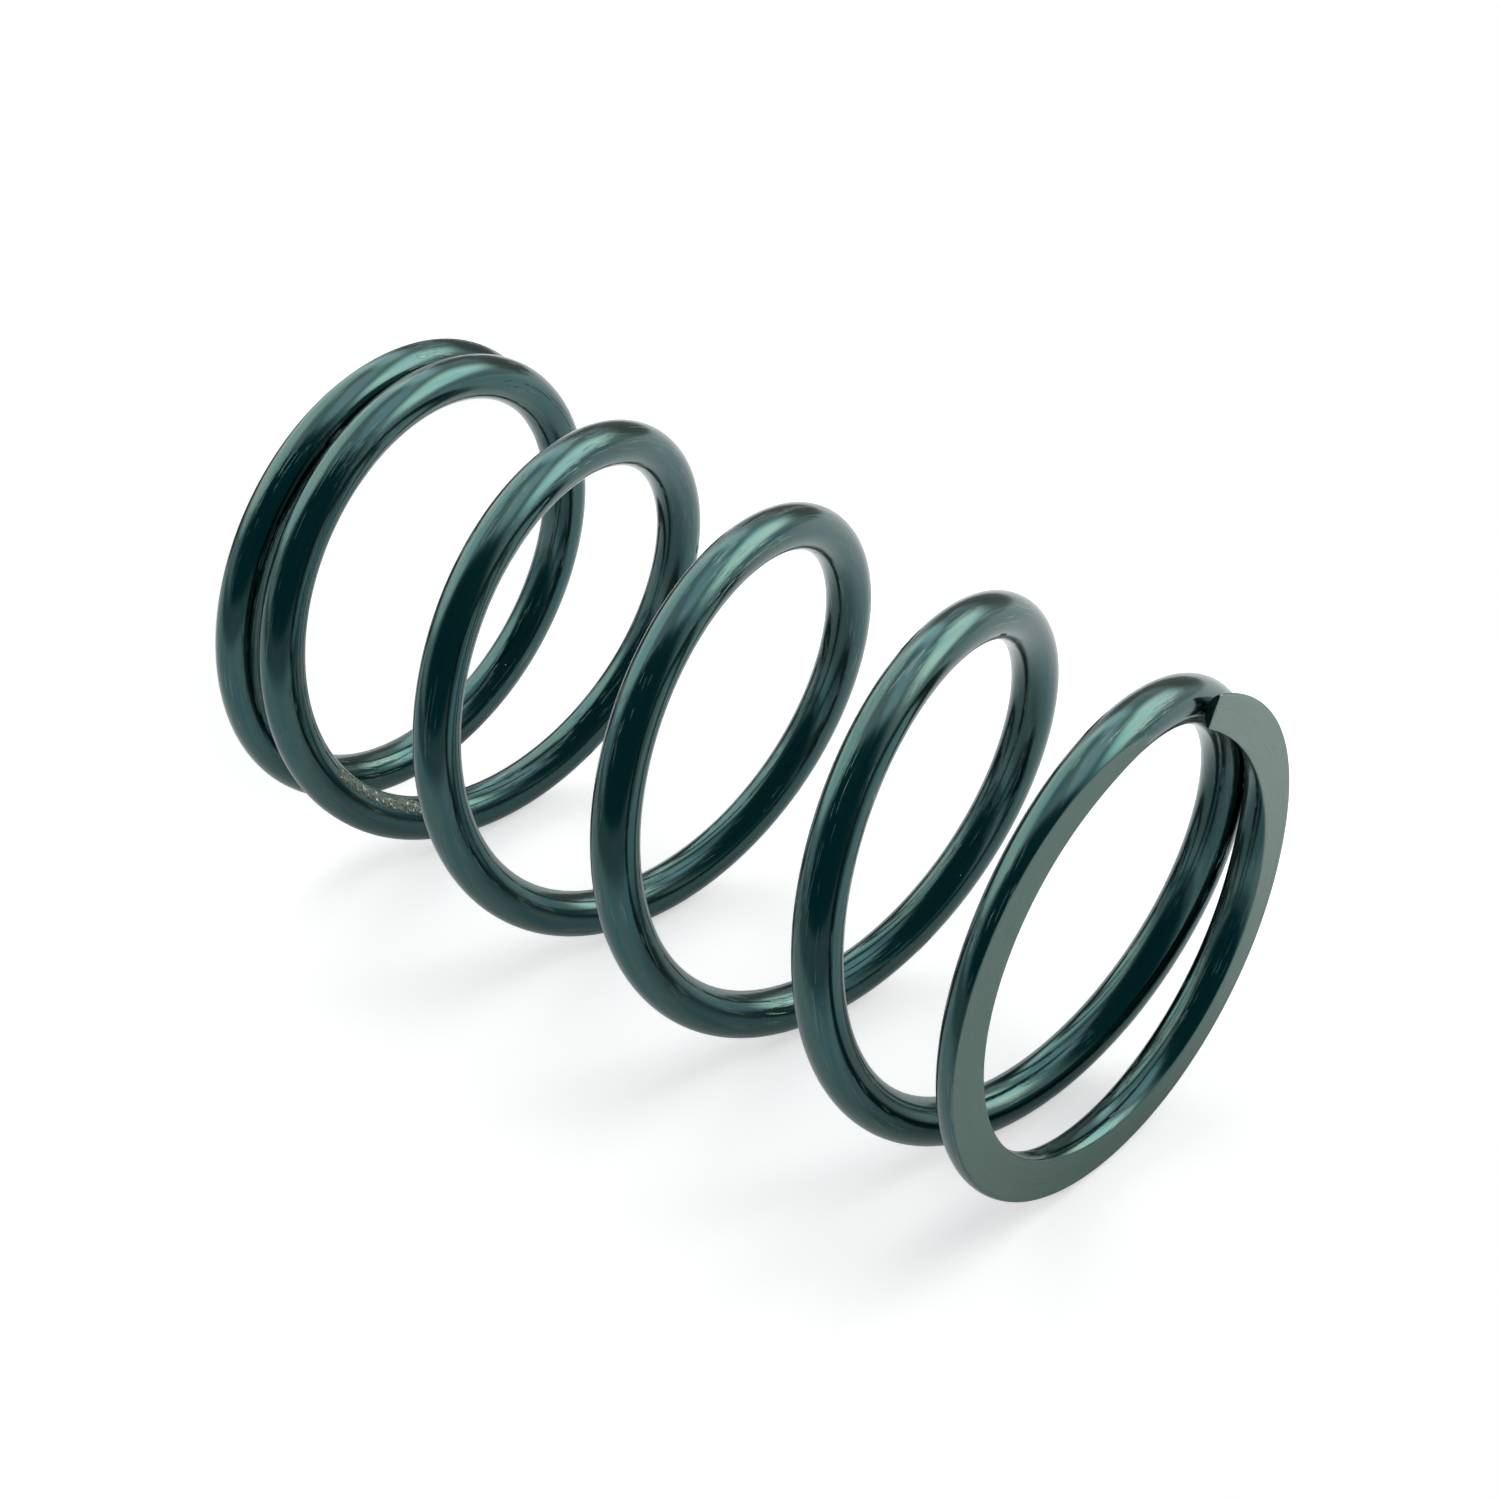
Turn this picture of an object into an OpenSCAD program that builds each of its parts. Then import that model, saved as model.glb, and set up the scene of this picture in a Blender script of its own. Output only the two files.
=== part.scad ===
// Clutch spring: one length of round steel wire wound right-handed into an open
// compression coil. Both ends are closed and ground flat, so it stands upright on
// its lower seat. The free coil bows a little to one side, as wound springs do. The
// origin is in the plane of the lower seat, in the middle of the room that the coil
// takes up, and +Z runs along the coil to the upper seat.

/* [Wire and coil] */
// Diameter of the round wire
wire_d = 5.2; // [4:0.1:6.5]
// Outside diameter of the coil
coil_od = 57.2; // [50:0.1:70]
// Free length from seat to seat
free_length = 108; // [90:0.1:140]
// Turns from tip to tip
turns = 6.06; // [5.5:0.01:7]

/* [Bow] */
// Sideways bow of the coil's axis, from its ends to the middle of its length
bow = 1.4; // [0:0.1:3]
// Direction of the bow, counted round from the upper tip
bow_angle = 107; // [0:1:359]

/* [Both ends] */
// Height over which a tip eases off the coil it rests on
tip_blend = 0.6; // [0.2:0.1:1.5]
// Turns from a tip to where the lean of its end coil has died out
lean_turns = 2.6; // [1.5:0.1:3]

/* [Upper end] */
// Thickness left at the tip after grinding
upper_tip_thickness = 1; // [0.8:0.1:2.6]
// Turns wound before the pitch starts to open
upper_closed_turns = 0.56; // [0.3:0.01:1.5]
// Turns over which the pitch opens to its full value
upper_opening_turns = 0.99; // [0.4:0.01:1.4]
// Pitch of the closed stretch
upper_closed_pitch = 1.4; // [0:0.1:8]
// Gap between the tip and the coil it rests on
upper_tip_gap = 0.15; // [0.1:0.05:1.5]
// Lean of the end coil out of square, as a rise and fall about its mean
upper_lean = 1; // [0:0.1:1.5]
// Place of the lowest point of that lean, in turns from the tip
upper_lean_at = 0.25; // [0.1:0.01:0.5]

/* [Lower end] */
// Thickness left at the tip after grinding
lower_tip_thickness = 1.7; // [0.8:0.1:2.6]
// Turns wound before the pitch starts to open
lower_closed_turns = 1; // [0.3:0.01:1.5]
// Turns over which the pitch opens to its full value
lower_opening_turns = 0.51; // [0.4:0.01:1.4]
// Pitch of the closed stretch
lower_closed_pitch = 5.8; // [0:0.1:8]
// Gap between the tip and the coil it rests on
lower_tip_gap = 0.5; // [0.1:0.05:1.5]
// Lean of the end coil out of square, as a rise and fall about its mean
lower_lean = 1.3; // [0:0.1:1.5]
// Place of the lowest point of that lean, in turns from the tip
lower_lean_at = 0.26; // [0.1:0.01:0.5]

/* [Facets] */
// Flat sides around the wire, an even number
wire_sides = 16; // [10:2:16]
// Rings of the wire in each turn
rings_per_turn = 52; // [36:1:56]

/* [Hidden] */

wire_r = wire_d / 2;
coil_r = (coil_od - wire_d) / 2;

// Each end is listed as tip thickness, closed turns, opening turns, closed pitch,
// tip gap, lean and the place of the lean.
UPPER = [upper_tip_thickness, upper_closed_turns, upper_opening_turns,
         upper_closed_pitch, upper_tip_gap, upper_lean, upper_lean_at];
LOWER = [lower_tip_thickness, lower_closed_turns, lower_opening_turns,
         lower_closed_pitch, lower_tip_gap, lower_lean, lower_lean_at];

function tip_thickness(end) = end[0];
function closed_turns(end) = end[1];
function opening_turns(end) = end[2];
function closed_pitch(end) = end[3];
function tip_gap(end) = end[4];
function lean(end) = end[5];
function lean_at(end) = end[6];

// 0 to 1 with a smooth start and stop, and the area under that curve
function clip(x) = min(max(x, 0), 1);
function ease(x) = let (c = clip(x)) c * c * (3 - 2 * c);
function eased_area(x) = let (c = clip(x)) c ^ 3 - c ^ 4 / 2 + max(x - 1, 0);

// The lower of two heights, with the corner between them rounded
function lower_of(a, b) = min(a, b) - max(tip_blend - abs(a - b), 0) ^ 2 / (4 * tip_blend);

// Height of the wire's centre u turns from a tip, as it is wound, before the end
// coils are pressed to it: the closed pitch, then the opening, then the lean.
function lean_height(end, u) =
    lean(end) * cos(360 * (u - lean_at(end))) * (1 - ease((u - 0.5) / (lean_turns - 0.5)));
function wound_height(end, u, pitch) =
    closed_pitch(end) * u
    + (pitch - closed_pitch(end)) * opening_turns(end)
      * eased_area((u - closed_turns(end)) / opening_turns(end))
    + lean_height(end, u);

// The same, with each coil resting on the next one where it would run into it
function rested_height(end, u, pitch) =
    u > turns / 2 ? wound_height(end, u, pitch) :
    lower_of(wound_height(end, u, pitch),
             rested_height(end, u + 1, pitch) - wire_d - tip_gap(end));

// Depth of the wire's centre below the plane that its end is ground to
function depth(end, u, pitch) =
    rested_height(end, u, pitch) - rested_height(end, 0, pitch)
    + tip_thickness(end) - wire_r;

// The open coils' pitch that makes both ends meet at half the turns
open_turns = turns - closed_turns(UPPER) - opening_turns(UPPER) / 2
    - closed_turns(LOWER) - opening_turns(LOWER) / 2;
function missing_length(pitch) =
    free_length - depth(UPPER, turns / 2, pitch) - depth(LOWER, turns / 2, pitch);
function solved_pitch(pitch, passes) =
    passes == 0 ? pitch : solved_pitch(pitch + missing_length(pitch) / open_turns, passes - 1);
open_pitch = solved_pitch(free_length / turns, 12);

// Height of the wire's centre above the lower seat, t turns down from the upper tip
function centre_height(t) =
    t < turns / 2 ? free_length - depth(UPPER, t, open_pitch)
                  : depth(LOWER, turns - t, open_pitch);

// Sideways place of the axis at a height. The bow swings as far to one side of the
// origin at the ends as it does to the other at half the length.
function axis_shift(z) =
    let (s = z / free_length)
    bow * (4 * s * (1 - s) - 0.5) * [cos(bow_angle), sin(bow_angle)];

// The wire's section in a plane through the coil's axis is a circle that its climb
// stretches a little along the axis. A seat cuts it along a chord, whose two
// corners are points of the ring too, so the ground face is truly flat.
slope_step = 0.002;
function climb(t) =
    let (a = max(t - slope_step, 0), b = min(t + slope_step, turns))
    (centre_height(b) - centre_height(a)) / (2 * PI * coil_r * (b - a));
function stretch(t) = sqrt(1 + climb(t) ^ 2);

// Half the angle that a seat cuts off the section, and never less than half a side
function cut_angle(distance, reach) =
    max(acos(min(max(distance / reach, -1), 1)), 180 / wire_sides);

// One ring. Its points are counted from the top of the wire, outwards and around,
// and the two on either side of the nearer seat's chord are moved to its corners.
function ring(t) =
    let (upper = t < turns / 2,
         z = centre_height(t),
         middle = axis_shift(z),
         reach = wire_r * stretch(t),
         cut = cut_angle(upper ? free_length - z : z, reach),
         way = upper ? 1 : -1,
         start = upper ? 0 : wire_sides / 2)
    [for (i = [0 : wire_sides - 1])
        let (a = cut + (360 - 2 * cut) * ((i + start) % wire_sides) / (wire_sides - 1),
             r = coil_r + way * wire_r * sin(a),
             h = z + way * reach * cos(a))
        [middle[0] + r * cos(360 * t), middle[1] - r * sin(360 * t),
         min(max(h, 0), free_length)]];

ring_count = ceil(turns * rings_per_turn) + 1;
function ring_turn(k) = turns * k / (ring_count - 1);

module spring() {
    points = [for (k = [0 : ring_count - 1]) each ring(ring_turn(k))];
    side_faces = [for (k = [0 : ring_count - 2], i = [0 : wire_sides - 1])
        let (a = k * wire_sides + i,
             b = k * wire_sides + (i + 1) % wire_sides)
        each [[a, b, a + wire_sides], [b, b + wire_sides, a + wire_sides]]];
    first_cut = [for (i = [0 : wire_sides - 1]) wire_sides - 1 - i];
    last_cut = [for (i = [0 : wire_sides - 1]) (ring_count - 1) * wire_sides + i];
    color([0.24, 0.36, 0.36])
        polyhedron(points, concat(side_faces, [first_cut, last_cut]), convexity = 12);
}

spring();
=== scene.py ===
import math

import bpy
import numpy as np
from mathutils import Matrix, Vector


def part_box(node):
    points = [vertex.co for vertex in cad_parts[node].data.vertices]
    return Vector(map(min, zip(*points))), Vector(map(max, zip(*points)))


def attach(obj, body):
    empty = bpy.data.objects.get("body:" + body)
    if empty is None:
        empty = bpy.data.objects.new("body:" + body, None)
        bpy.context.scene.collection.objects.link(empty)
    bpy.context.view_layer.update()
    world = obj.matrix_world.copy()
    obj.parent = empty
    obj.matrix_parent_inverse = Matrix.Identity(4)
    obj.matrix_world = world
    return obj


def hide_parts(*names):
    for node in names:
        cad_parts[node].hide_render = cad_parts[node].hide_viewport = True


# The clutch spring's looks: one coated wire, ground at both ends, in metres.

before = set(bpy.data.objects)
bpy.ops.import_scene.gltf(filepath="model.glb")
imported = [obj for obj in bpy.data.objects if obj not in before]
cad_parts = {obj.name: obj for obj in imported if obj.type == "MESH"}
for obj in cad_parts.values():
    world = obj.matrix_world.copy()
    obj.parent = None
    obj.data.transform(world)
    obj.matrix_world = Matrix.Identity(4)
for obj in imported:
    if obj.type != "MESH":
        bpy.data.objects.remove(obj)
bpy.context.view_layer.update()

MM = 0.001
WIRE_D = 5.2 * MM
COIL_OD = 57.2 * MM
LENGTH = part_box("spring")[1].z
TURNS = 6.06
BOW = 1.4 * MM
BOW_ANGLE = math.radians(107)
TIP_BLEND = 0.6 * MM
# Turns from a tip to where the lean of its end coil starts to fade, and has died out
LEAN_FADES = 0.5
LEAN_TURNS = 2.6

WIRE_R = WIRE_D / 2
COIL_R = (COIL_OD - WIRE_D) / 2
ONE_TURN = 2 * math.pi * COIL_R


class End:
    """How one end is wound: the same values as in the part's source."""

    def __init__(self, tip_thickness, closed_turns, opening_turns, closed_pitch,
                 tip_gap, lean, lean_at):
        self.tip_thickness = tip_thickness * MM
        self.closed_turns = closed_turns
        self.opening_turns = opening_turns
        self.closed_pitch = closed_pitch * MM
        self.tip_gap = tip_gap * MM
        self.lean = lean * MM
        self.lean_at = lean_at


UPPER = End(tip_thickness=1, closed_turns=0.56, opening_turns=0.99, closed_pitch=1.4,
            tip_gap=0.15, lean=1, lean_at=0.25)
LOWER = End(tip_thickness=1.7, closed_turns=1, opening_turns=0.51, closed_pitch=5.8,
            tip_gap=0.5, lean=1.3, lean_at=0.26)


def ease(x):
    """0 to 1 with a smooth start and stop."""
    x = np.clip(x, 0, 1)
    return x * x * (3 - 2 * x)


def eased_area(x):
    """The area under that curve."""
    y = np.clip(x, 0, 1)
    return y ** 3 - y ** 4 / 2 + np.maximum(x - 1, 0)


def lower_of(a, b):
    """The lower of two heights, with the corner between them rounded."""
    return np.minimum(a, b) - np.maximum(TIP_BLEND - np.abs(a - b), 0) ** 2 / (4 * TIP_BLEND)


def wound_height(end, u, pitch):
    """Height of the wire's centre u turns from a tip, before the coils rest on each other."""
    closed = end.closed_pitch * u
    opening = (pitch - end.closed_pitch) * end.opening_turns
    opened = opening * eased_area((u - end.closed_turns) / end.opening_turns)
    fading = 1 - ease((u - LEAN_FADES) / (LEAN_TURNS - LEAN_FADES))
    lean = end.lean * np.cos(2 * np.pi * (u - end.lean_at)) * fading
    return closed + opened + lean


def rested_height(end, u, pitch):
    """The same, with each coil resting on the next one where it would run into it."""
    wound = wound_height(end, u, pitch)
    if np.min(u) > TURNS / 2:
        return wound
    next_coil = rested_height(end, u + 1, pitch)
    return np.where(u > TURNS / 2, wound, lower_of(wound, next_coil - WIRE_D - end.tip_gap))


def depth(end, u, pitch):
    """Depth of the wire's centre below the plane that its end is ground to."""
    u = np.asarray(u, float)
    at_tip = rested_height(end, np.zeros(1), pitch)
    return rested_height(end, u, pitch) - at_tip + end.tip_thickness - WIRE_R


def solve_pitch(passes=12):
    """The open coils' pitch that makes both ends meet at half the turns."""
    open_turns = TURNS - sum(e.closed_turns + e.opening_turns / 2 for e in (UPPER, LOWER))
    pitch = LENGTH / TURNS
    half = TURNS / 2
    for _ in range(passes):
        missing = LENGTH - depth(UPPER, half, pitch)[0] - depth(LOWER, half, pitch)[0]
        pitch += missing / open_turns
    return pitch


PITCH = solve_pitch()


def centre_height(t):
    """Height of the wire's centre above the lower seat, t turns down from the upper tip."""
    t = np.asarray(t, float)
    from_above = LENGTH - depth(UPPER, t, PITCH)
    return np.where(t < TURNS / 2, from_above, depth(LOWER, TURNS - t, PITCH))


def axis_shift(z):
    """Sideways place of the coil's axis at a height: it bows to one side at half its length."""
    s = z / LENGTH
    out = BOW * (4 * s * (1 - s) - 0.5)
    return out * math.cos(BOW_ANGLE), out * math.sin(BOW_ANGLE)


# The wire's section: a circle that the seat cuts along a chord, with the ground
# edge softened by the coat. Its points gather at the chord and its two rounded
# edges, and spread out evenly where the wire is round.
SIDES = 64
EDGE_POINTS = 5
CHORD_POINTS = 10
TOP_POINTS = 2 * EDGE_POINTS + CHORD_POINTS
RINGS_PER_TURN = 200
EDGE_R_AT_TIP = 0.16 * MM
EDGE_R = 0.5 * MM
CUT_BEVEL = 0.14 * MM
# Heights of the seat's plane above the wire's centre, as shares of its radius:
# where the edge has its full radius, where the points start to gather, where they
# have gathered, and the narrowest chord
EDGE_FULL = 0.7
GATHERING = 1.3
GATHERED = 0.95
NARROW_CHORD = 0.98
# Depth below the seat's plane over which the ground finish fades
GROUND_DEPTH = 0.06 * MM
# Turns to either side over which the wire's climb is measured
SLOPE_STEP = 0.002
# Weight of the larger faces in the shading, where 50 is neutral
LARGE_FACES = 90


def rounded_edge(h):
    """The rounded edge beside a chord at height h.

    It is given as its radius, its centre's place and where it meets the circle.
    """
    e = (EDGE_R_AT_TIP + (EDGE_R - EDGE_R_AT_TIP) * float(ease(h / EDGE_FULL))) / WIRE_R
    edge_x = math.sqrt((1 - e) ** 2 - (h - e) ** 2)
    return e, edge_x, math.atan2(edge_x, h - e)


def gathered_section(h):
    """Points of a unit circle that is cut flat at height h, gathered at the cut."""
    e, edge_x, touch = rounded_edge(h)
    chord_x = np.linspace(-edge_x, edge_x, CHORD_POINTS)
    chord = np.stack([chord_x, np.full(CHORD_POINTS, h)], axis=1)
    bend = np.linspace(0, touch, EDGE_POINTS + 1)[1:]
    edge = np.stack([edge_x + e * np.sin(bend), h - e + e * np.cos(bend)], axis=1)
    around = np.linspace(touch, 2 * np.pi - touch, SIDES - TOP_POINTS + 2)[1:-1]
    round_side = np.stack([np.sin(around), np.cos(around)], axis=1)
    return np.concatenate([edge[::-1] * (-1, 1), chord, edge, round_side])


def spread_section(h, share):
    """The same for a narrow chord or none, with its points gathered by this share."""
    gathered = gathered_section(min(h, NARROW_CHORD))
    even = 2 * np.pi / SIDES * (np.arange(SIDES) - (TOP_POINTS - 1) / 2)
    angles = share * np.unwrap(np.arctan2(gathered[:, 0], gathered[:, 1])) + (1 - share) * even
    out = np.stack([np.sin(angles), np.cos(angles)], axis=1)
    if h < 1:
        e, edge_x, touch = rounded_edge(h)
        turned = np.abs((angles + np.pi) % (2 * np.pi) - np.pi)
        flat = turned <= math.atan2(edge_x, h)
        bent = ~flat & (turned < touch)
        out[flat] *= (h / out[flat, 1])[:, None]
        out[flat, 1] = h
        nearness = np.abs(out[bent, 0]) * edge_x + out[bent, 1] * (h - e)
        further = np.sqrt(e ** 2 - edge_x ** 2 - (h - e) ** 2 + nearness ** 2)
        out[bent] *= (nearness + further)[:, None]
    return out


def section(distance, reach):
    """One section's points as (outwards, up) pairs, counted from the seat's inner edge.

    distance is how far the seat's plane lies from the wire's centre, and reach is
    the wire's radius along the coil's axis.
    """
    h = distance / reach
    share = float(ease((GATHERING - h) / (GATHERING - GATHERED)))
    points = gathered_section(h) if share == 1 else spread_section(h, share)
    return points * (WIRE_R, reach)


def shrunk(points, by):
    """A ring's points drawn in towards their middle."""
    middle = points.mean(axis=0)
    size = np.linalg.norm(points - middle, axis=1, keepdims=True)
    return middle + (points - middle) * (1 - by / np.maximum(size, by))


def ring(t, shrink=0.0):
    """One ring of the wire: its points, and where they lie in the section."""
    lo, hi = max(t - SLOPE_STEP, 0.0), min(t + SLOPE_STEP, TURNS)
    climb = float(centre_height([hi])[0] - centre_height([lo])[0]) / (ONE_TURN * (hi - lo))
    reach = WIRE_R * math.sqrt(1 + climb ** 2)
    z = float(centre_height([t])[0])
    upper = t < TURNS / 2
    pts = section(LENGTH - z if upper else z, reach)
    if not upper:
        pts = np.roll(-pts, SIDES // 2, axis=0)
    if shrink:
        pts = shrunk(pts, shrink)
    turn = 2 * np.pi * t
    radial = COIL_R + pts[:, 0]
    x, y = axis_shift(z)
    xyz = np.stack([x + radial * math.cos(turn), y - radial * math.sin(turn), z + pts[:, 1]], axis=1)
    return xyz, pts


def turns_of_rings():
    """The rings' turns, with the bevel of each cut end as one more ring."""
    count = int(math.ceil(TURNS * RINGS_PER_TURN)) + 1
    even = np.linspace(0, TURNS, count)
    bevel = CUT_BEVEL / ONE_TURN
    return np.concatenate([[0.0, bevel], even[1:-1], [TURNS - bevel, TURNS]])


def ring_faces(last):
    """Quads between the rings, and one face over each cut end."""
    k, i = np.meshgrid(np.arange(last), np.arange(SIDES), indexing="ij")
    a = (k * SIDES + i).ravel()
    b = (k * SIDES + (i + 1) % SIDES).ravel()
    faces = np.stack([a, a + SIDES, b + SIDES, b], axis=1).tolist()
    faces.append(list(range(SIDES)))
    faces.append([last * SIDES + j for j in reversed(range(SIDES))])
    return faces


def build_spring():
    """The wire as one closed mesh, with its places on the straight wire for the coat."""
    turns = turns_of_rings()
    last = len(turns) - 1
    verts, place = [], []
    for k, t in enumerate(turns):
        xyz, pts = ring(float(t), CUT_BEVEL if k in (0, last) else 0.0)
        verts.append(xyz)
        place.append(np.column_stack([np.full(SIDES, t * ONE_TURN), pts]))
    verts = np.concatenate(verts)
    place = np.concatenate(place)
    faces = ring_faces(last)
    mesh = bpy.data.meshes.new("coated_wire")
    mesh.from_pydata(verts.tolist(), [], faces)
    mesh.polygons.foreach_set("use_smooth", [True] * len(faces))
    # where each point lies along and across the straight wire, in millimetres
    straight = mesh.attributes.new("straight_wire", "FLOAT_VECTOR", "POINT")
    straight.data.foreach_set("vector", (place / MM).ravel())
    below_seat = np.minimum(verts[:, 2], LENGTH - verts[:, 2])
    ground = mesh.attributes.new("ground", "FLOAT", "POINT")
    ground.data.foreach_set("value", np.clip(1 - below_seat / GROUND_DEPTH, 0, 1))
    # the two cut ends have the second material
    material_index = np.zeros(len(faces), int)
    material_index[-2:] = 1
    mesh.polygons.foreach_set("material_index", material_index)
    mesh.update()
    piece = bpy.data.objects.new("spring_wire", mesh)
    bpy.context.scene.collection.objects.link(piece)
    smooth = piece.modifiers.new("even_shading", "WEIGHTED_NORMAL")
    smooth.weight = LARGE_FACES
    return piece


class Nodes:
    """Short calls for building a material's nodes."""

    def __init__(self, tree):
        self.tree = tree

    def add(self, kind, **inputs):
        node = self.tree.nodes.new(kind)
        for name, value in inputs.items():
            self.put(node.inputs[name.replace("_", " ")], value)
        return node

    def put(self, socket, value):
        if isinstance(value, bpy.types.NodeSocket):
            self.tree.links.new(value, socket)
        else:
            socket.default_value = value

    def math(self, operation, a, b=0.0, clamp=False):
        node = self.tree.nodes.new("ShaderNodeMath")
        node.operation = operation
        node.use_clamp = clamp
        self.put(node.inputs[0], a)
        self.put(node.inputs[1], b)
        return node.outputs[0]

    def vector(self, operation, a, b, output="Vector"):
        node = self.tree.nodes.new("ShaderNodeVectorMath")
        node.operation = operation
        self.put(node.inputs[0], a)
        self.put(node.inputs[1], b)
        return node.outputs[output]

    def any_of(self, masks):
        """The strongest of several masks."""
        total = masks[0]
        for mask in masks[1:]:
            total = self.math("MAXIMUM", total, mask)
        return total

    def mirrored(self, path):
        """1 for reflected and refracted rays."""
        return self.math("MAXIMUM", path.outputs["Is Glossy Ray"], path.outputs["Is Transmission Ray"])

    def seen(self, path):
        """1 for rays from the camera and for reflected and refracted ones."""
        return self.math("MAXIMUM", path.outputs["Is Camera Ray"], self.mirrored(path))

    def near(self, place, start, end, radius, rim):
        """1 within radius of the line from start to end, fading to 0 over rim."""
        start, way = Vector(start), Vector(end) - Vector(start)
        offset = self.vector("SUBTRACT", place, start)
        passed = self.vector("DOT_PRODUCT", offset, way / way.length_squared, "Value")
        nearest = self.add("ShaderNodeVectorMath")
        nearest.operation = "SCALE"
        nearest.inputs[0].default_value = way
        self.put(nearest.inputs["Scale"], self.math("ADD", passed, 0.0, clamp=True))
        distance = self.vector("DISTANCE", offset, nearest.outputs[0], "Value")
        return self.span(distance, radius, radius + rim, 1.0, 0.0)

    def attribute(self, name, output):
        node = self.tree.nodes.new("ShaderNodeAttribute")
        node.attribute_name = name
        return node.outputs[output]

    def noise(self, vector, scale, detail=2.0, roughness=0.5):
        node = self.add("ShaderNodeTexNoise", Vector=vector, Scale=scale, Detail=detail,
                        Roughness=roughness)
        return node.outputs["Fac"]

    def stretched_noise(self, vector, along, across, detail=2.0, roughness=0.5):
        """Noise on the straight wire, with its own scales along and across it."""
        stretched = self.vector("MULTIPLY", vector, (along, across, across))
        return self.noise(stretched, 1.0, detail, roughness)

    def span(self, value, low, high, to_low=0.0, to_high=1.0):
        """to_low below low, to_high above high, and a smooth step between them."""
        node = self.tree.nodes.new("ShaderNodeMapRange")
        node.interpolation_type = "SMOOTHSTEP"
        for socket, number in zip(node.inputs[1:5], (low, high, to_low, to_high)):
            socket.default_value = number
        self.put(node.inputs[0], value)
        return node.outputs[0]

    def mix(self, factor, a, b):
        node = self.tree.nodes.new("ShaderNodeMix")
        node.data_type = "RGBA"
        self.put(node.inputs[0], factor)
        self.put(node.inputs[6], a)
        self.put(node.inputs[7], b)
        return node.outputs[2]

    def blend_shaders(self, factor, a, b):
        node = self.tree.nodes.new("ShaderNodeMixShader")
        for socket, value in zip(node.inputs, (factor, a, b)):
            self.put(socket, value)
        return node.outputs[0]

    def glow(self, colour, strength):
        return self.add("ShaderNodeEmission", Color=colour, Strength=strength).outputs[0]


def new_material(name):
    material = bpy.data.materials.new(name)
    material.use_nodes = True
    material.node_tree.nodes.clear()
    return material, Nodes(material.node_tree)


# Colours of the coat, of what shows where it is worn, of the painted glint on the drawn lines, and of
# the ground flats with their painted reflection tones
TEAL_DEEP = (0.034, 0.090, 0.098, 1)
TEAL_LIGHT = (0.055, 0.106, 0.098, 1)
COPPERY = (0.080, 0.086, 0.072, 1)
LINE_GLINT = (0.130, 0.180, 0.190, 1)
# The ground flats' tones along the wire are a painted reflection of the lit and shaded table
GROUND_TIP_PAINTED_BRIGHT = (0.280, 0.355, 0.335, 1)
GROUND_FURTHER = (0.145, 0.215, 0.190, 1)
GROUND_AT_END = (0.176, 0.252, 0.230, 1)
SCALE_DARK = (0.045, 0.070, 0.060, 1)
SCALE_LIGHT = (0.190, 0.235, 0.200, 1)
SCALE_FLECK = (0.8, 0.85, 0.78, 1)
SOOT = (0.004, 0.006, 0.006, 1)
SPECK = (0.75, 0.8, 0.76, 1)
BLACK = (0, 0, 0, 1)

# Grain of the coat: its scales along and across the wire, per millimetre, and where
# given its detail and roughness
DRAWN_GRAIN = (0.05, 2.2, 4.0, 0.6)
FINE_LINES = (0.2, 4.2, 2.0)
LINE_PATCHES = (0.1, 0.5)
CLOUDS = (0.1, 1.4, 3.0)
COPPERY_STREAKS = (0.07, 2.6)
# Scale and detail of the noise that isn't drawn out along the wire
GRIT = (9.0, 3.0)
BLOTCHES = (3.2, 3.0)
FLECKS = (2.1, 3.0)
BREAKS = (1.6, 2.0)
WANDER_SCALE = 2.5
WANDER_DETAIL = 3.0
# Levels of each noise between which what it draws sets in
GRAIN_LEVELS = (0.3, 0.7)
LINE_LEVELS = (0.57, 0.66)
PATCH_LEVELS = (0.46, 0.62)
CLOUD_LEVELS = (0.3, 0.7)
STREAK_LEVELS = (0.55, 0.75)
GRIT_LEVELS = (0.25, 0.75)
BLOTCH_LEVELS = (0.38, 0.6)
FLECK_LEVELS = (0.63, 0.68)
BREAK_LEVELS = (0.38, 0.5)
# Shares of the tints: the coppery one, the painted glint on the drawn lines, and the grit's
COPPERY_SHARE = 0.5
LINE_GLINT_SHARE = 0.5
GRIT_SHARE = 0.16

# The wire's length, and the distances along it from the nearer tip between which the
# ground flat's painted reflection changes its tone, all in millimetres
WIRE_MM = ONE_TURN * TURNS / MM
TIP_TONE = (15.0, 65.0)
END_TONE = (72.0, 108.0)

# Worn places on the straight wire, as lines from one place to another in
# millimetres: along the wire from the upper tip, out from the coil's axis and up.
BARE_STRIP = (((737.0, -2.12, 1.5), (746.0, -2.0, 1.66), 0.6),
              ((746.0, -2.0, 1.66), (752.0, -1.4, 2.19), 0.4))
DARK_SCRATCHES = (((817.2, 0.27, 2.59), (818.9, 0.45, 2.56)),
                  ((820.0, -0.18, 2.59), (820.9, 0.0, 2.6)),
                  ((821.7, 0.54, 2.54), (824.4, 0.6, 2.52)),
                  ((824.4, 0.6, 2.52), (828.0, 0.5, 2.55)),
                  ((827.6, 0.85, 2.46), (831.4, 0.98, 2.41)),
                  ((829.3, 0.54, 2.54), (834.2, 0.62, 2.52)))
CHIPS = (((384.1, 0.62, 2.52), (385.7, 1.14, 2.34)),
         ((710.6, 0.8, 2.47), (711.2, 0.84, 2.46)),
         ((681.2, 0.75, 2.49), (682.0, 0.7, 2.5)),
         ((325.4, -1.1, 2.36), (327.0, -1.3, 2.25)))
LIGHT_SPECKS = ((870.3, -1.99, 1.67), (376.3, -1.93, 1.74))
SPECK_LENGTH = Vector((0.05, 0, 0))
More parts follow.
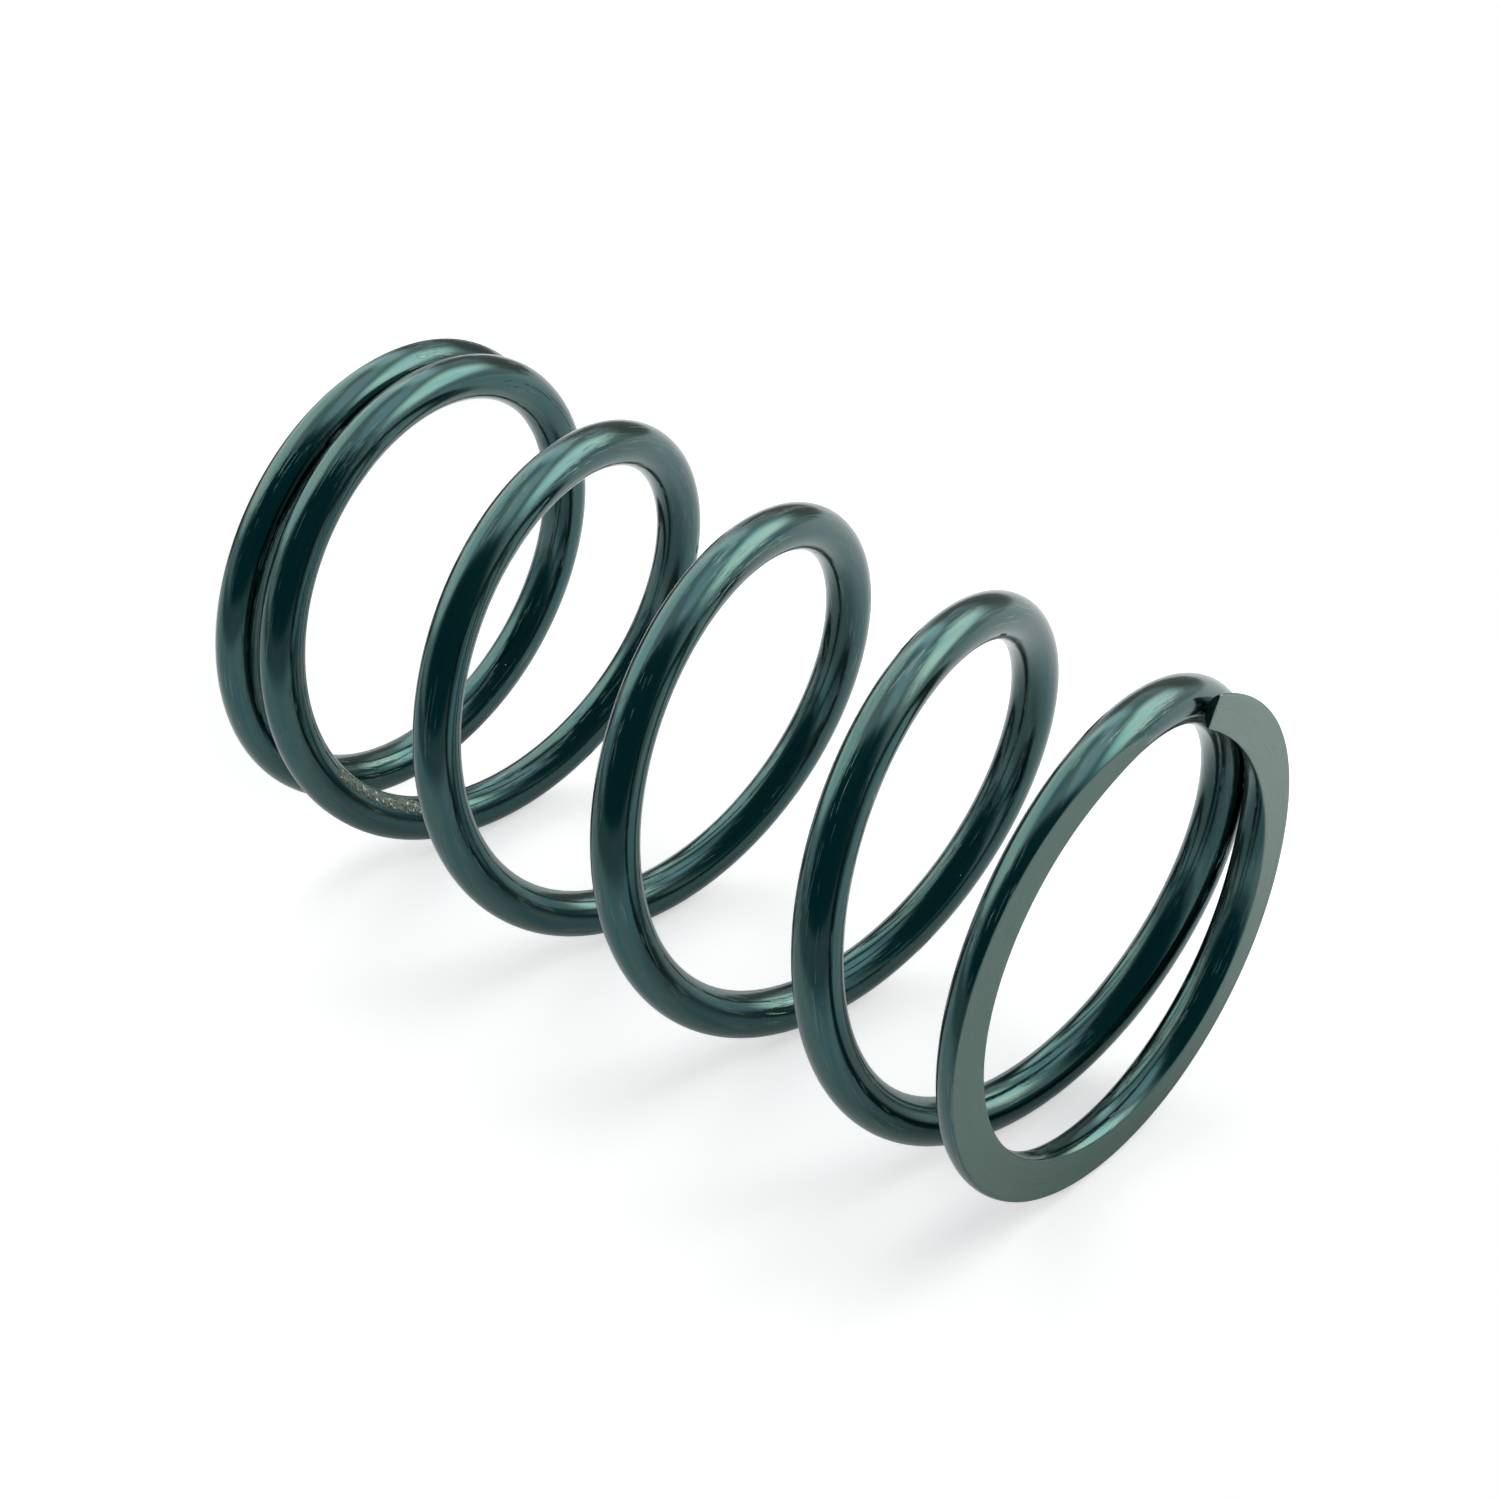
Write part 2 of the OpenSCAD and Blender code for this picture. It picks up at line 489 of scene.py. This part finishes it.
# Radius of each kind of mark and the rim over which it fades, in millimetres
SCRATCH_SIZE = (0.02, 0.09)
CHIP_SIZE = (0.16, 0.12)
SPECK_SIZE = (0.03, 0.06)
SPECK_RING_SIZE = (0.12, 0.1)
BARE_RIM = 0.5
BARE_RAGGED = 1.2
SCRATCH_SHARE = 0.75

# Roughness of the clean coat, and what the lines, grinding and wear add to it
COAT_ROUGHNESS = (0.13, 0.18)
LINE_ROUGHNESS = 0.05
GROUND_ROUGHNESS = 0.55
WORN_ROUGHNESS = 0.4
COAT_METALLIC = 0.95
# Shares of the drawn grain and the lines in the relief, and the heights in metres
GRAIN_RELIEF = 0.16
LINE_RELIEF = 0.84
COAT_RELIEF = 0.00003
PIT_RELIEF = 0.0003
PIT_STRENGTH = 0.8
GRIT_IN_PITS = 0.5


def drawn_lines(n, wire):
    """Fine lines along the wire that the drawing die left, in patches."""
    fine = n.span(n.stretched_noise(wire, *FINE_LINES), *LINE_LEVELS)
    patches = n.span(n.stretched_noise(wire, *LINE_PATCHES), *PATCH_LEVELS)
    return n.math("MULTIPLY", fine, patches)


def coat_colour(n, wire, lines):
    """Cloudy teal with coppery streaks, and drawn lines made paler by a painted glint."""
    clouds = n.span(n.stretched_noise(wire, *CLOUDS), *CLOUD_LEVELS)
    streaks = n.stretched_noise(wire, *COPPERY_STREAKS)
    streaks = n.span(streaks, *STREAK_LEVELS, 0.0, COPPERY_SHARE)
    teal = n.mix(streaks, n.mix(clouds, TEAL_DEEP, TEAL_LIGHT), COPPERY)
    # the drawn lines are painted paler, as a glint of the lamps on them
    return n.mix(n.math("MULTIPLY", lines, LINE_GLINT_SHARE), teal, LINE_GLINT)


def ground_colour(n, wire, grit):
    """Ground steel under a thin coat, with a painted reflection: palest at the tip, darker further
    along.
    """
    along = n.add("ShaderNodeSeparateXYZ", Vector=wire).outputs[0]
    from_tip = n.math("MINIMUM", along, n.math("SUBTRACT", WIRE_MM, along))
    # painted reflection: pale at the tip, darker further along
    steel = n.mix(n.span(from_tip, *TIP_TONE), GROUND_TIP_PAINTED_BRIGHT, GROUND_FURTHER)
    steel = n.mix(n.span(from_tip, *END_TONE), steel, GROUND_AT_END)
    return n.mix(n.span(grit, *GRIT_LEVELS, 0.0, GRIT_SHARE), steel, BLACK)


def bare_strip(n, wire):
    """The strip that has lost its coat, with a ragged edge."""
    wander = n.add("ShaderNodeTexNoise", Vector=wire, Scale=WANDER_SCALE, Detail=WANDER_DETAIL)
    centred = n.vector("SUBTRACT", wander.outputs["Color"], (0.5, 0.5, 0.5))
    ragged = n.vector("ADD", wire, n.vector("MULTIPLY", centred, (BARE_RAGGED,) * 3))
    return n.any_of([n.near(ragged, a, b, radius, BARE_RIM) for a, b, radius in BARE_STRIP])


def bare_colour(n, wire, blotch):
    """Dark and light scale with a few bright flecks."""
    scale = n.mix(n.span(blotch, *BLOTCH_LEVELS), SCALE_DARK, SCALE_LIGHT)
    return n.mix(n.span(n.noise(wire, *FLECKS), *FLECK_LEVELS), scale, SCALE_FLECK)


def speck_marks(n, wire, size):
    return n.any_of([n.near(wire, p, Vector(p) + SPECK_LENGTH, *size) for p in LIGHT_SPECKS])


def dark_marks(n, wire):
    """Broken scratches, chips, and a dark ring round each light speck."""
    scratched = n.any_of([n.near(wire, a, b, *SCRATCH_SIZE) for a, b in DARK_SCRATCHES])
    scratched = n.math("MULTIPLY", scratched, n.span(n.noise(wire, *BREAKS), *BREAK_LEVELS))
    chipped = n.any_of([n.near(wire, a, b, *CHIP_SIZE) for a, b in CHIPS])
    ringed = speck_marks(n, wire, SPECK_RING_SIZE)
    return n.any_of([n.math("MULTIPLY", scratched, SCRATCH_SHARE), chipped, ringed])


def coat_roughness(n, ground, worn, drawn, lines):
    """Nearly a mirror where the coat is clean, and matt where it is ground or worn."""
    clean = n.math("ADD", n.span(drawn, *GRAIN_LEVELS, *COAT_ROUGHNESS),
                   n.math("MULTIPLY", lines, LINE_ROUGHNESS))
    matt = n.math("MAXIMUM", n.math("MULTIPLY", ground, GROUND_ROUGHNESS),
                  n.math("MULTIPLY", worn, WORN_ROUGHNESS))
    return n.math("ADD", clean, matt)


def coat_relief(n, drawn, lines, bare, blotch, grit):
    """Normals of the drawn grain and lines, with pits in the bare strip."""
    height = n.math("ADD", n.math("MULTIPLY", drawn, GRAIN_RELIEF),
                    n.math("MULTIPLY", lines, LINE_RELIEF))
    grain = n.add("ShaderNodeBump", Strength=1.0, Distance=COAT_RELIEF, Height=height)
    pitted = n.math("MULTIPLY", bare, n.math("ADD", blotch, n.math("MULTIPLY", grit, GRIT_IN_PITS)))
    pits = n.add("ShaderNodeBump", Strength=PIT_STRENGTH, Distance=PIT_RELIEF, Height=pitted,
                 Normal=grain.outputs[0])
    return pits.outputs[0]


def coated_wire_material():
    """Dark teal metallic coat, worn in places, and matt where the ends are ground."""
    material, n = new_material("teal_coated_wire")
    wire = n.attribute("straight_wire", "Vector")
    ground = n.attribute("ground", "Fac")
    drawn = n.stretched_noise(wire, *DRAWN_GRAIN)
    lines = drawn_lines(n, wire)
    grit = n.noise(wire, *GRIT)
    blotch = n.noise(wire, *BLOTCHES)
    bare = bare_strip(n, wire)
    dark = dark_marks(n, wire)
    pale = speck_marks(n, wire, SPECK_SIZE)
    colour = n.mix(ground, coat_colour(n, wire, lines), ground_colour(n, wire, grit))
    colour = n.mix(bare, colour, bare_colour(n, wire, blotch))
    colour = n.mix(dark, colour, SOOT)
    colour = n.mix(pale, colour, SPECK)
    roughness = coat_roughness(n, ground, n.any_of([bare, dark, pale]), drawn, lines)
    relief = coat_relief(n, drawn, lines, bare, blotch, grit)
    shader = n.add("ShaderNodeBsdfPrincipled", Base_Color=colour, Roughness=roughness, Normal=relief)
    shader.inputs["Metallic"].default_value = COAT_METALLIC
    n.add("ShaderNodeOutputMaterial", Surface=shader.outputs[0])
    return material


# The cut end's colours are painted darker than the coat, standing in for its shade
CUT_SHADE_DARK = (0.012, 0.028, 0.030, 1)
CUT_SHADE_LIGHT = (0.035, 0.060, 0.060, 1)
CUT_GRAIN = (1800.0, 4.0)
CUT_LEVELS = (0.3, 0.7)
CUT_RELIEF = 0.0001
CUT_RELIEF_STRENGTH = 0.3
CUT_METALLIC = 0.6
CUT_ROUGHNESS = 0.5


def cut_end_material():
    """The sheared end of the wire, coated like the rest but dull, and painted darker than the coat as
    the shade it lies in.
    """
    material, n = new_material("cut_wire_end")
    place = n.add("ShaderNodeTexCoord").outputs["Object"]
    torn = n.noise(place, *CUT_GRAIN)
    colour = n.mix(n.span(torn, *CUT_LEVELS), CUT_SHADE_DARK, CUT_SHADE_LIGHT)
    bump = n.add("ShaderNodeBump", Strength=CUT_RELIEF_STRENGTH, Distance=CUT_RELIEF, Height=torn)
    shader = n.add("ShaderNodeBsdfPrincipled", Base_Color=colour, Normal=bump.outputs[0])
    shader.inputs["Metallic"].default_value = CUT_METALLIC
    shader.inputs["Roughness"].default_value = CUT_ROUGHNESS
    n.add("ShaderNodeOutputMaterial", Surface=shader.outputs[0])
    return material


# A table touches the spring's side, as if the spring lay on it. Directions are given
# along the coil's axis, across the table towards the camera, and up from the table.
TABLE_UP_ANGLE = math.radians(25.231)
UP = Vector((math.cos(TABLE_UP_ANGLE), math.sin(TABLE_UP_ANGLE), 0))
ACROSS = Vector((-math.sin(TABLE_UP_ANGLE), math.cos(TABLE_UP_ANGLE), 0))
ALONG = Vector((0, 0, 1))
MIDDLE = Vector((0, 0, LENGTH / 2))
TABLE_DEPTH = COIL_OD / 2 + BOW / 2 * math.cos(BOW_ANGLE - TABLE_UP_ANGLE)


def on_table(along, across, up):
    return ALONG * along + ACROSS * across + UP * up


def heading(azimuth, elevation):
    """A direction: azimuth from the coil's axis towards the camera's side, elevation up."""
    a, e = math.radians(azimuth), math.radians(elevation)
    return on_table(math.cos(e) * math.cos(a), math.cos(e) * math.sin(a), math.sin(e))


STAGE_SIZE = 4.0
WHITE = (1, 1, 1, 1)
# The stage's colour makes up for the warm lamps
PALE = (0.72, 0.79, 0.85, 1)
# The line on the table that the spring lies along
FOOT_MIDDLE = MIDDLE - UP * TABLE_DEPTH
FOOT = (FOOT_MIDDLE - ALONG * LENGTH / 2, FOOT_MIDDLE + ALONG * LENGTH / 2)
# Strengths of the stage's own light: the floor's, the table's far from the spring
# and at its foot, and the table's in reflections, with the painted shade that darkens it right under
# the spring
FLOOR_LIGHT = 0.95
TABLE_FAR = 0.9
TABLE_BY_FOOT = 0.565
TABLE_MIRRORED = 0.5
MIRRORED_PAINTED_SHADE = 0.3
# Distances in metres: how far from the foot the shadows and that painted shade reach, as a
# radius and a rim, the strip of table that meets the floor, and where shadows end
SHADOW_REACH = (0.02, 0.085)
PAINTED_SHADE_REACH = (0.012, 0.03)
TABLE_MEETS_FLOOR = 0.016
SHADOWS_END = (0.11, 0.15)


def plane(name, centre, normal, side):
    """A square plane of the stage that faces along normal."""
    normal = normal.normalized()
    side = (side - normal * side.dot(normal)).normalized()
    other = normal.cross(side)
    corners = [centre + side * (STAGE_SIZE / 2 * a) + other * (STAGE_SIZE / 2 * b)
               for a, b in ((-1, -1), (1, -1), (1, 1), (-1, 1))]
    mesh = bpy.data.meshes.new(name)
    mesh.from_pydata([tuple(c) for c in corners], [], [(0, 1, 2, 3)])
    obj = bpy.data.objects.new(name, mesh)
    bpy.context.scene.collection.objects.link(obj)
    obj.visible_diffuse = False
    return obj


def pale_material(name, light_of):
    """A pale matt surface that keeps soft shadows and is lifted to white by its own light.

    Far from the spring, where no shadow falls, the camera sees plain white.
    """
    material, n = new_material(name)
    place = n.add("ShaderNodeNewGeometry").outputs["Position"]
    path = n.add("ShaderNodeLightPath")
    diffuse = n.add("ShaderNodeBsdfDiffuse", Color=PALE)
    lifted = n.add("ShaderNodeAddShader")
    n.put(lifted.inputs[0], diffuse.outputs[0])
    n.put(lifted.inputs[1], n.glow(WHITE, light_of(n, place, path)))
    far = n.span(n.vector("LENGTH", place, (0, 0, 0), "Value"), *SHADOWS_END)
    plain = n.math("MULTIPLY", far, path.outputs["Is Camera Ray"])
    return material, n, n.blend_shaders(plain, lifted.outputs[0], n.glow(WHITE, 1.0))


def floor_light(n, place, path):
    return n.math("MULTIPLY", n.seen(path), FLOOR_LIGHT)


def floor_material():
    material, n, surface = pale_material("pale_floor", floor_light)
    n.add("ShaderNodeOutputMaterial", Surface=surface)
    return material


def table_light(n, place, path):
    """Shadows fade away from the spring's foot, and reflections show the table darker there by a
    painted shade.
    """
    height = n.add("ShaderNodeSeparateXYZ", Vector=place).outputs[2]
    above_floor = n.span(height, 0.0, TABLE_MEETS_FLOOR)
    by_foot = n.math("MULTIPLY", n.near(place, *FOOT, *SHADOW_REACH), above_floor)
    seen = n.math("ADD", n.math("MULTIPLY", by_foot, TABLE_BY_FOOT - TABLE_FAR), TABLE_FAR)
    # painted shade: the table looks darker in reflections right under the spring
    under = n.near(place, *FOOT, *PAINTED_SHADE_REACH)
    mirrored = n.math("ADD", n.math("MULTIPLY", under, -MIRRORED_PAINTED_SHADE), TABLE_MIRRORED)
    to_camera = n.math("MULTIPLY", path.outputs["Is Camera Ray"], seen)
    return n.math("ADD", to_camera, n.math("MULTIPLY", n.mirrored(path), mirrored))


def table_material():
    """The table under the spring. It can't be seen, and stops no light, from behind."""
    material, n, surface = pale_material("pale_backdrop", table_light)
    behind = n.add("ShaderNodeNewGeometry").outputs["Backfacing"]
    clear = n.add("ShaderNodeBsdfTransparent").outputs[0]
    n.add("ShaderNodeOutputMaterial", Surface=n.blend_shaders(behind, surface, clear))
    return material


def make_stage():
    """The floor that the spring stands on, and a backdrop that its side touches.

    Lamps below the floor light the spring too, so the floor stops no shadow rays.
    """
    floor = plane("floor", Vector((0, 0, 0)), ALONG, Vector((1, 0, 0)))
    floor.data.materials.append(floor_material())
    floor.visible_glossy = False
    floor.visible_shadow = False
    side = plane("backdrop", FOOT_MIDDLE, UP, ALONG)
    side.data.materials.append(table_material())


# How square the fading edges of screens and lamps are
SQUARENESS = 3.0


def edge_fade(n, x, y, fading):
    """1 in the middle of a screen and 0 at its edges, where x and y are -1 and 1."""
    powers = [n.math("POWER", n.math("ABSOLUTE", side), SQUARENESS) for side in (x, y)]
    outwards = n.math("POWER", n.math("ADD", *powers), 1 / SQUARENESS)
    return n.span(outwards, 1 - fading, 1.0, 1.0, 0.0)


def between(ends, share):
    return ends[0] + (ends[1] - ends[0]) * share


def curved(azimuths, elevations, distance):
    """Places on a screen that curves about the spring, for shares of its width and height."""
    def place(i, j):
        return MIDDLE + heading(between(azimuths, i), between(elevations, j)) * distance
    return place


def lying_on_table(azimuths, reaches):
    """Places on a screen on the table, for shares of its turn about the spring and its width."""
    def place(i, j):
        return MIDDLE + heading(between(azimuths, i), 0) * between(reaches, j) - UP * (TABLE_DEPTH - MM)
    return place


SCREEN_STEPS = 24


def screen(name, place, tint, glow, fading):
    """A dark screen that only reflections show. It fades towards its edges."""
    verts, across = [], []
    for j in range(SCREEN_STEPS + 1):
        for i in range(SCREEN_STEPS + 1):
            verts.append(tuple(place(i / SCREEN_STEPS, j / SCREEN_STEPS)))
            across += [2 * i / SCREEN_STEPS - 1, 2 * j / SCREEN_STEPS - 1, 0]
    row = SCREEN_STEPS + 1
    corners = [j * row + i for j in range(SCREEN_STEPS) for i in range(SCREEN_STEPS)]
    mesh = bpy.data.meshes.new(name)
    mesh.from_pydata(verts, [], [(a, a + 1, a + row + 1, a + row) for a in corners])
    mesh.attributes.new("across", "FLOAT_VECTOR", "POINT").data.foreach_set("vector", across)
    material, n = new_material(name)
    x, y, _ = n.add("ShaderNodeSeparateXYZ", Vector=n.attribute("across", "Vector")).outputs
    clear = n.add("ShaderNodeBsdfTransparent").outputs[0]
    surface = n.blend_shaders(edge_fade(n, x, y, fading), clear, n.glow((*tint, 1), glow))
    n.add("ShaderNodeOutputMaterial", Surface=surface)
    mesh.materials.append(material)
    obj = bpy.data.objects.new(name, mesh)
    bpy.context.scene.collection.objects.link(obj)
    obj.visible_camera = False
    obj.visible_diffuse = False
    obj.visible_shadow = False


WORLD_FILL = (0.07, 0.075, 0.08, 1)


def make_world():
    """White where it is seen or mirrored, and otherwise a dim fill."""
    world = bpy.data.worlds.new("studio")
    bpy.context.scene.world = world
    world.use_nodes = True
    world.node_tree.nodes.clear()
    n = Nodes(world.node_tree)
    colour = n.mix(n.seen(n.add("ShaderNodeLightPath")), WORLD_FILL, WHITE)
    background = n.add("ShaderNodeBackground", Color=colour)
    n.add("ShaderNodeOutputWorld", Surface=background.outputs[0])


def softbox(name, azimuth, elevation, distance, width, height, radiance, colour, fading, tilt=0):
    """A rectangular lamp that faces the spring's middle.

    radiance is how bright its middle looks, fading is the share of its half width
    over which it fades to nothing, and tilt turns it about the line to the spring.
    """
    data = bpy.data.lights.new(name, "AREA")
    data.shape = "RECTANGLE"
    data.size = width
    data.size_y = height
    data.energy = radiance * math.pi * width * height
    data.color = colour
    data.use_nodes = True
    data.node_tree.nodes.clear()
    n = Nodes(data.node_tree)
    place = n.add("ShaderNodeNewGeometry").outputs["Parametric"]
    shares = n.add("ShaderNodeSeparateXYZ", Vector=place).outputs[:2]
    x, y = (n.math("SUBTRACT", n.math("MULTIPLY", share, 2.0), 1.0) for share in shares)
    emission = n.add("ShaderNodeEmission", Strength=edge_fade(n, x, y, fading))
    n.add("ShaderNodeOutputLight", Surface=emission.outputs[0])
    lamp = bpy.data.objects.new(name, data)
    back = heading(azimuth, elevation)
    side = UP.cross(back).normalized()
    turn = Matrix((side, back.cross(side), back)).transposed().to_4x4()
    turn.translation = MIDDLE + back * distance
    lamp.matrix_world = turn @ Matrix.Rotation(math.radians(tilt), 4, "Z")
    lamp.visible_camera = False
    bpy.context.scene.collection.objects.link(lamp)


WARM = (1.0, 0.9, 0.78)
COOL = (0.92, 0.9, 1.0)
NEUTRAL = (1, 1, 1)


def make_lights():
    """Four soft lamps, and the dark surroundings that the coat mirrors between them."""
    softbox("softbox_right", azimuth=-63, elevation=32, distance=0.8, width=1.05, height=0.68,
            radiance=4.4, colour=WARM, fading=0.6)
    softbox("softbox_left", azimuth=177, elevation=33, distance=0.8, width=1.25, height=0.95,
            radiance=1.75, colour=WARM, fading=0.35)
    softbox("overhead", azimuth=-60, elevation=72, distance=0.9, width=1.0, height=0.6,
            radiance=0.95, colour=COOL, fading=0.5)
    softbox("far_strip", azimuth=-129, elevation=42, distance=0.9, width=0.95, height=0.36,
            radiance=1.9, colour=NEUTRAL, fading=0.7, tilt=-38)
    screen("dark_side", curved(azimuths=(-27, 143), elevations=(-12, 84), distance=1.5),
           tint=(0.06, 0.85, 1.0), glow=0.15, fading=0.25)
    screen("dark_gap", curved(azimuths=(-146, -74), elevations=(-8, 24), distance=0.7),
           tint=(1.0, 0.97, 0.88), glow=0.32, fading=0.5)
    screen("dark_post", curved(azimuths=(-142, -122), elevations=(2, 32), distance=0.7),
           tint=(1.0, 0.9, 0.85), glow=0.4, fading=0.5)
    screen("dark_front", lying_on_table(azimuths=(-32, 164), reaches=(0.07, 1.2)),
           tint=(0.8, 0.98, 1.0), glow=0.4, fading=0.12)
    screen("dark_far_end", lying_on_table(azimuths=(162, 218), reaches=(0.05, 1.0)),
           tint=(1.0, 0.95, 0.8), glow=0.1, fading=0.3)


CAMERA_PLACE = Vector((95.51, 292.56, 252.87)) * MM
CAMERA_RIGHT = Vector((0.28674, -0.60849, 0.73994))
CAMERA_UP = Vector((0.92403, -0.0282, -0.38127))
LENS = 80.121
SENSOR_WIDTH = 36
SHIFT = (0.0368, -0.0285)
NEAREST_SEEN = 0.01


def make_camera():
    """The photograph's view, fitted to the outline of the wire in it."""
    data = bpy.data.cameras.new("camera")
    data.lens = LENS
    data.sensor_width = SENSOR_WIDTH
    data.shift_x, data.shift_y = SHIFT
    data.clip_start = NEAREST_SEEN
    camera = bpy.data.objects.new("camera", data)
    back = CAMERA_RIGHT.cross(CAMERA_UP)
    turn = Matrix((CAMERA_RIGHT, CAMERA_UP, back)).transposed().to_4x4()
    turn.translation = CAMERA_PLACE
    camera.matrix_world = turn
    bpy.context.scene.collection.objects.link(camera)
    bpy.context.scene.camera = camera


bpy.context.scene.view_settings.view_transform = "Standard"
make_camera()
spring = build_spring()
spring.data.materials.append(coated_wire_material())
spring.data.materials.append(cut_end_material())
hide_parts("spring")
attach(spring, "root")
make_stage()
make_world()
make_lights()
